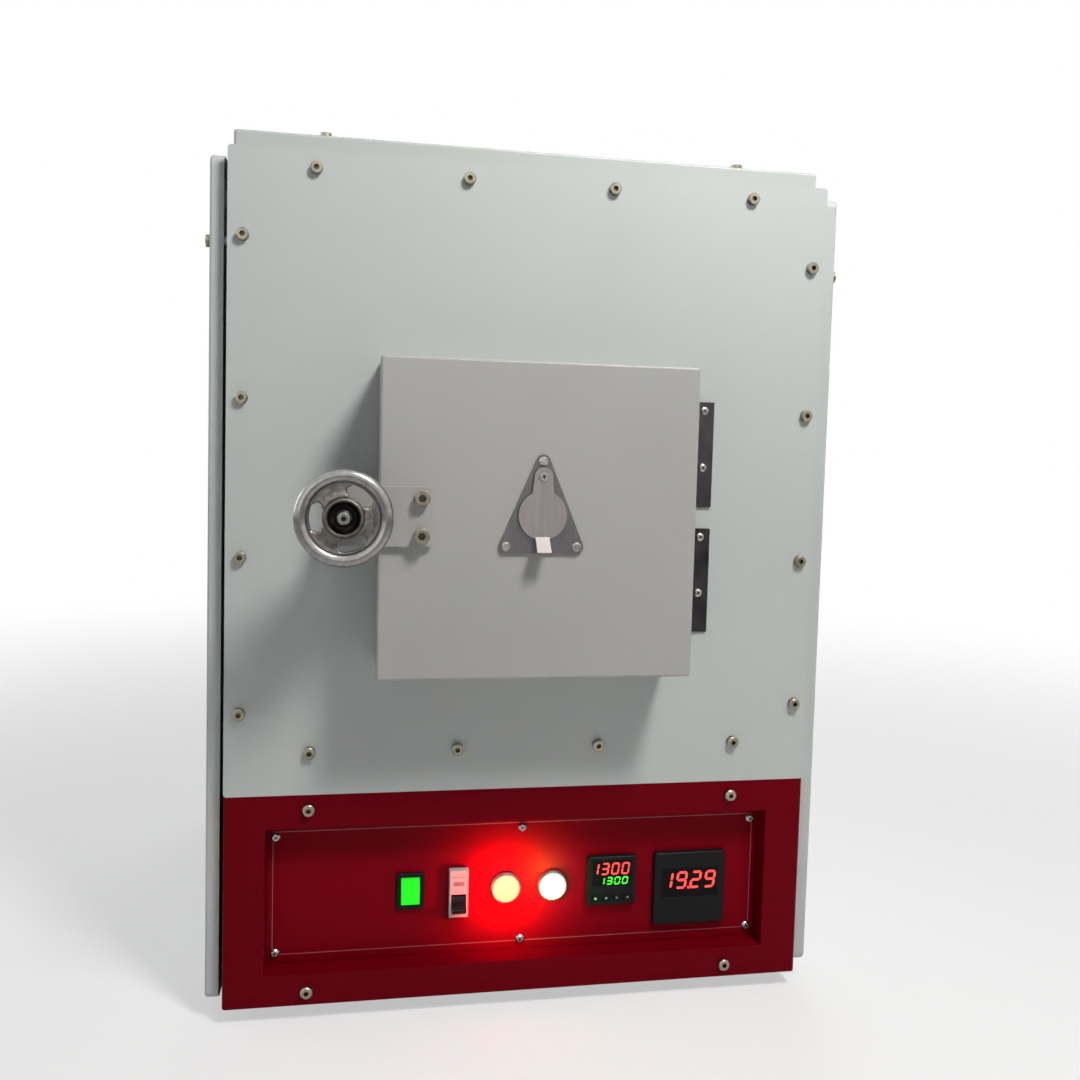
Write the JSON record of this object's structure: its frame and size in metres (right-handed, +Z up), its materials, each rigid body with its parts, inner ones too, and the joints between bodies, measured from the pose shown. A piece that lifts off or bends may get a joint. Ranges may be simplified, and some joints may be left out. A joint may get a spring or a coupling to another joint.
{
  "type": "muffle furnace",
  "caption": "Laboratory muffle furnace with an insulated swing door, handwheel latch, sight hole and a recessed control panel.",
  "frame": {"origin": "on the floor, under the middle of the whole outline", "axes": "+X to the right seen from the front, +Y from front to back, +Z up"},
  "size_m": [0.585, 0.7288, 0.7995],
  "materials": {
    "grey_paint": "fine satin powder coat",
    "door_paint": "satin powder coat",
    "red_paint": "gloss powder coat",
    "plate_red": "satin printed plate",
    "galvanised": "dull zinc",
    "stainless": "brushed",
    "dark_steel": "polished dark",
    "cast_steel": "polished rim, rough web",
    "zinc": "yellowish zinc plate",
    "rubber": "matt",
    "fibre": "matt ceramic fibre board",
    "alumina": "smooth alumina",
    "heating": "dark silicon carbide",
    "quartz": "clear",
    "smoked": "smoked window",
    "black_plastic": "fine grain",
    "white_plastic": "satin",
    "green_key": "translucent, lit",
    "red_glow": "translucent, lit",
    "green_glow": "translucent, lit",
    "aluminium": "extruded"
  },
  "bodies": {
    "casing": {"base_chassis": "galvanised", "feet": "rubber", "front_panel": "grey_paint", "latch_boss": "dark_steel", "fascia": "red_paint", "left_cover": "grey_paint", "right_cover": "grey_paint", "top_cover": "grey_paint", "rear_cover": "grey_paint", "inner_left": "galvanised", "inner_right": "galvanised", "inner_top": "galvanised", "inner_deck": "galvanised", "inner_back": "galvanised", "insulation_boards": "fibre", "throat_frame": "fibre", "chamber_left": "fibre", "chamber_right": "fibre", "chamber_roof": "fibre", "hearth": "alumina", "chamber_back": "fibre", "heating_elements": "heating", "thermocouple": "alumina", "control_plate": "plate_red", "rocker_body": "black_plastic", "breaker_body": "white_plastic", "lamp_bezels": "aluminium", "red_lens": "red_glow", "green_lens": "green_glow", "controller_case": "black_plastic", "meter_case": "black_plastic", "display_windows": "smoked", "terminal_block": "black_plastic", "power_relay": "black_plastic", "heat_sink": "aluminium", "cable_gland": "black_plastic", "hinge_panel_leaves": "dark_steel", "hinge_pins": "stainless", "front_screws": "zinc", "plate_screws": "stainless", "cover_screws": "zinc"},
    "door": {"door_shell": "door_paint", "door_pan": "galvanised", "door_plug": "fibre", "sight_tube": "quartz", "hinge_door_leaves": "dark_steel", "latch_bracket": "grey_paint", "bracket_bolts": "zinc", "peep_plate": "stainless", "peep_screws": "stainless"},
    "washer": {"thrust_washer": "stainless"},
    "wheel": {"handwheel": "cast_steel", "latch_rod": "cast_steel"},
    "shutter": {"peep_shutter": "stainless"},
    "rocker": {"rocker_key": "green_key"},
    "toggle": {"breaker_toggle": "black_plastic"},
    "key_1": {"controller_key_1": "black_plastic"},
    "key_2": {"controller_key_2": "black_plastic"},
    "key_3": {"controller_key_3": "black_plastic"},
    "key_4": {"controller_key_4": "black_plastic"}
  },
  "joints": [
    {"name": "door_hinge", "type": "hinge", "parent": "casing", "child": "door", "pos_m": [0.1345, -0.26258, 0.464], "axis": [0, 0, 1], "range_deg": [0, 90]},
    {"name": "latch_feed", "type": "slide", "parent": "door", "child": "washer", "axis": [0, 1, 0], "range_m": [0, 0.01225]},
    {"name": "wheel_spin", "type": "hinge", "parent": "washer", "child": "wheel", "pos_m": [-0.1685, -0.34892, 0.467], "axis": [0, 1, 0], "range_deg": [0, 2520]},
    {"name": "shutter_pivot", "type": "hinge", "parent": "door", "child": "shutter", "pos_m": [-0.006, -0.33358, 0.5021], "axis": [0, 1, 0], "range_deg": [-100, 100]},
    {"name": "rocker_tilt", "type": "hinge", "parent": "casing", "child": "rocker", "pos_m": [-0.105, -0.23558, 0.108], "axis": [1, 0, 0], "range_deg": [0, 24]},
    {"name": "breaker_throw", "type": "hinge", "parent": "casing", "child": "toggle", "pos_m": [-0.06, -0.23657, 0.097], "axis": [1, 0, 0], "range_deg": [-48, 0]},
    {"name": "key_1_press", "type": "slide", "parent": "casing", "child": "key_1", "axis": [0, 1, 0], "range_m": [0, 0.0007], "stiffness_N_per_m": 600},
    {"name": "key_2_press", "type": "slide", "parent": "casing", "child": "key_2", "axis": [0, 1, 0], "range_m": [0, 0.0007], "stiffness_N_per_m": 600},
    {"name": "key_3_press", "type": "slide", "parent": "casing", "child": "key_3", "axis": [0, 1, 0], "range_m": [0, 0.0007], "stiffness_N_per_m": 600},
    {"name": "key_4_press", "type": "slide", "parent": "casing", "child": "key_4", "axis": [0, 1, 0], "range_m": [0, 0.0007], "stiffness_N_per_m": 600}
  ],
  "couplings": [
    {"joint": "latch_feed", "follows": "wheel_spin", "m_per_rad": 0.00027852}
  ]
}
